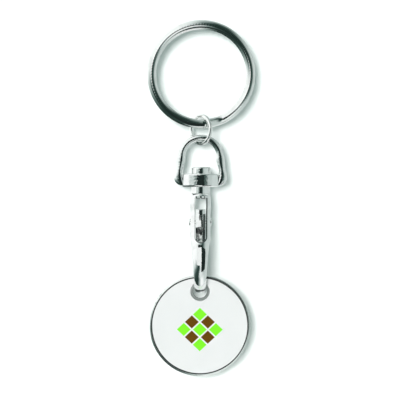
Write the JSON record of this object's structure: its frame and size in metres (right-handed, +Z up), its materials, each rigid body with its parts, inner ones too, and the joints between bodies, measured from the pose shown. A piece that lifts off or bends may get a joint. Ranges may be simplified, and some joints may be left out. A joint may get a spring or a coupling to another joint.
{
  "type": "coin holder keyring",
  "caption": "Keyring whose split ring and jump ring carry a swivel bow and a sprung trigger hook, with a loose metal trolley token hanging in the hook by its hole.",
  "frame": {"origin": "centre of the split ring, halfway between its two turns", "axes": "+Z up through the keyring as it hangs, +X to the right as seen from the front, +Y to the back, so the printed side of the token faces -Y"},
  "size_m": [0.025, 0.0128, 0.0822],
  "materials": {
    "ring_chrome": "bright nickel or chrome plate on steel wire",
    "hook_chrome": "bright plate on a die casting",
    "spring_steel": "drawn spring wire",
    "token_metal": "plated steel blank",
    "token_lacquer": "smooth white lacquer with a print"
  },
  "bodies": {
    "ring": {"split_ring": "ring_chrome"},
    "link": {"jump_ring": "ring_chrome"},
    "bow": {"swivel_bow": "hook_chrome"},
    "hook": {"hook_body": "hook_chrome", "swivel_stud": "hook_chrome", "gate_rivet": "hook_chrome"},
    "gate": {"gate_lever": "hook_chrome", "gate_spring": "spring_steel"},
    "token": {"coin_blank": "token_metal", "coin_face": "token_lacquer"}
  },
  "joints": [
    {"name": "jump_ring_swing", "type": "hinge", "parent": "ring", "child": "link", "pos_m": [0, 0, -0.01146], "axis": [1, 0, 0], "range_deg": [-90, 90]},
    {"name": "bow_swing", "type": "hinge", "parent": "link", "child": "bow", "pos_m": [0, 0, -0.01467], "axis": [1, 0, 0], "range_deg": [-60, 60]},
    {"name": "hook_swivel", "type": "hinge", "parent": "bow", "child": "hook", "pos_m": [0, 0, -0.0245], "axis": [0, 0, 1], "continuous": true},
    {"name": "gate_hinge", "type": "hinge", "parent": "hook", "child": "gate", "pos_m": [0, 0, -0.03418], "axis": [1, 0, 0], "range_deg": [-22, 0], "stiffness_Nm_per_rad": 0.002, "springref_deg": 51.57, "deforming": ["gate_spring"]},
    {"name": "token_swing", "type": "hinge", "parent": "hook", "child": "token", "pos_m": [0, 0, -0.05016], "axis": [0, 1, 0], "range_deg": [-40, 40]}
  ]
}
